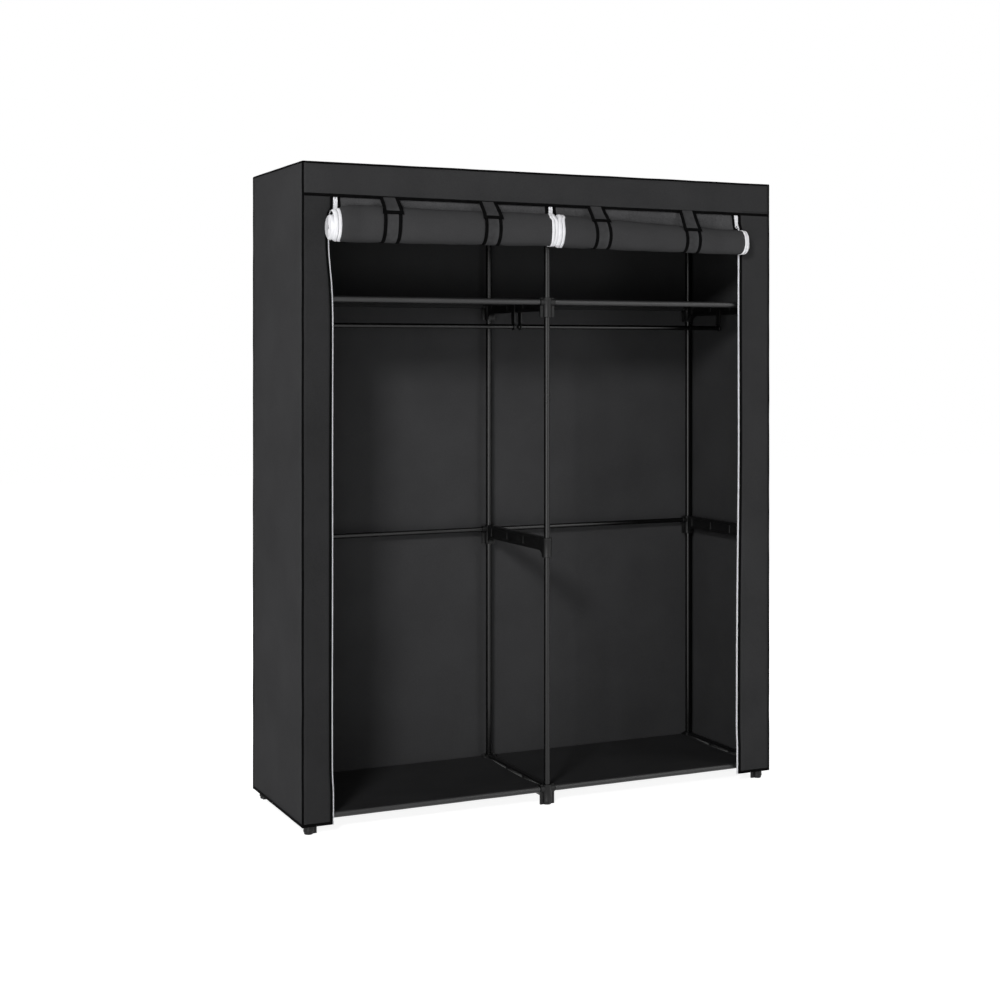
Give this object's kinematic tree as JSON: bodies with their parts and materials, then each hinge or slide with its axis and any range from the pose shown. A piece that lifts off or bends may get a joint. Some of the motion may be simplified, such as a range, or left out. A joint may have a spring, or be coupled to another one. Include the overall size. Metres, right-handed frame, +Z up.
{
  "type": "portable fabric wardrobe",
  "caption": "Free-standing wardrobe of steel tubes and moulded brackets with cloth shelves, hanging rods and a sewn cover whose zipped doors are rolled up.",
  "frame": {"origin": "floor level, under the middle of the outer box, which includes the door rolls in front", "axes": "+X to the wardrobe's right as seen from the front, +Y to the back, +Z up"},
  "size_m": [1.4, 0.486, 1.7],
  "materials": {
    "cover_cloth": "matt non-woven cloth, charcoal",
    "door_cloth": "matt non-woven cloth, charcoal, rolled with its lighter face out",
    "shelf_cloth": "matt non-woven cloth, near black",
    "strap_tape": "woven black tape and binding",
    "painted_tube": "grey powder coat, half gloss",
    "bracket_plastic": "moulded black plastic, fine grain",
    "zip_plastic": "white moulded plastic"
  },
  "bodies": {
    "wardrobe": {"bottom_bracket_left": "bracket_plastic", "bottom_bracket_middle": "bracket_plastic", "bottom_bracket_right": "bracket_plastic", "mid_bracket_left": "bracket_plastic", "mid_bracket_middle": "bracket_plastic", "mid_bracket_right": "bracket_plastic", "shelf_bracket_left": "bracket_plastic", "shelf_bracket_middle": "bracket_plastic", "shelf_bracket_right": "bracket_plastic", "top_frame": "bracket_plastic", "lower_post_front_left": "painted_tube", "lower_post_back_left": "painted_tube", "lower_post_front_middle": "painted_tube", "lower_post_back_middle": "painted_tube", "lower_post_front_right": "painted_tube", "lower_post_back_right": "painted_tube", "middle_post_front_left": "painted_tube", "middle_post_back_left": "painted_tube", "middle_post_front_middle": "painted_tube", "middle_post_back_middle": "painted_tube", "middle_post_front_right": "painted_tube", "middle_post_back_right": "painted_tube", "upper_post_front_left": "painted_tube", "upper_post_back_left": "painted_tube", "upper_post_front_middle": "painted_tube", "upper_post_back_middle": "painted_tube", "upper_post_front_right": "painted_tube", "upper_post_back_right": "painted_tube", "bottom_rail_front_left": "painted_tube", "bottom_rail_front_right": "painted_tube", "bottom_rail_back_left": "painted_tube", "bottom_rail_back_right": "painted_tube", "mid_rail_back_left": "painted_tube", "mid_rail_back_right": "painted_tube", "shelf_rail_front_left": "painted_tube", "shelf_rail_front_right": "painted_tube", "shelf_rail_back_left": "painted_tube", "shelf_rail_back_right": "painted_tube", "hanging_rod_left": "painted_tube", "hanging_rod_right": "painted_tube", "rod_hanger_left": "bracket_plastic", "rod_hanger_middle": "bracket_plastic", "rod_hanger_right": "bracket_plastic", "lower_shelf_left": "shelf_cloth", "lower_shelf_right": "shelf_cloth", "upper_shelf_left": "shelf_cloth", "upper_shelf_right": "shelf_cloth", "cover": "cover_cloth", "rolled_door_left": "door_cloth", "rolled_door_right": "door_cloth", "strap_left_outer": "strap_tape", "strap_left_inner": "strap_tape", "strap_right_inner": "strap_tape", "strap_right_outer": "strap_tape"},
    "left_slider": {"zip_slider_left": "zip_plastic"},
    "left_pull": {"zip_pull_left": "zip_plastic"},
    "centre_slider": {"zip_slider_centre": "zip_plastic"},
    "centre_pull": {"zip_pull_centre": "zip_plastic"},
    "right_slider": {"zip_slider_right": "zip_plastic"},
    "right_pull": {"zip_pull_right": "zip_plastic"}
  },
  "joints": [
    {"name": "left_slider_travel", "type": "slide", "parent": "wardrobe", "child": "left_slider", "axis": [0, 0, -1], "range_m": [0, 1.547]},
    {"name": "left_pull_swing", "type": "hinge", "parent": "left_slider", "child": "left_pull", "pos_m": [-0.6103, -0.1853, 1.6], "axis": [-1, 0, 0], "range_deg": [0, 150]},
    {"name": "centre_slider_travel", "type": "slide", "parent": "wardrobe", "child": "centre_slider", "axis": [0, 0, -1], "range_m": [0, 0.036]},
    {"name": "centre_pull_swing", "type": "hinge", "parent": "centre_slider", "child": "centre_pull", "pos_m": [0, -0.1853, 1.6], "axis": [-1, 0, 0], "range_deg": [0, 150]},
    {"name": "right_slider_travel", "type": "slide", "parent": "wardrobe", "child": "right_slider", "axis": [0, 0, -1], "range_m": [0, 1.547]},
    {"name": "right_pull_swing", "type": "hinge", "parent": "right_slider", "child": "right_pull", "pos_m": [0.5883, -0.1853, 1.6], "axis": [-1, 0, 0], "range_deg": [0, 150]}
  ]
}
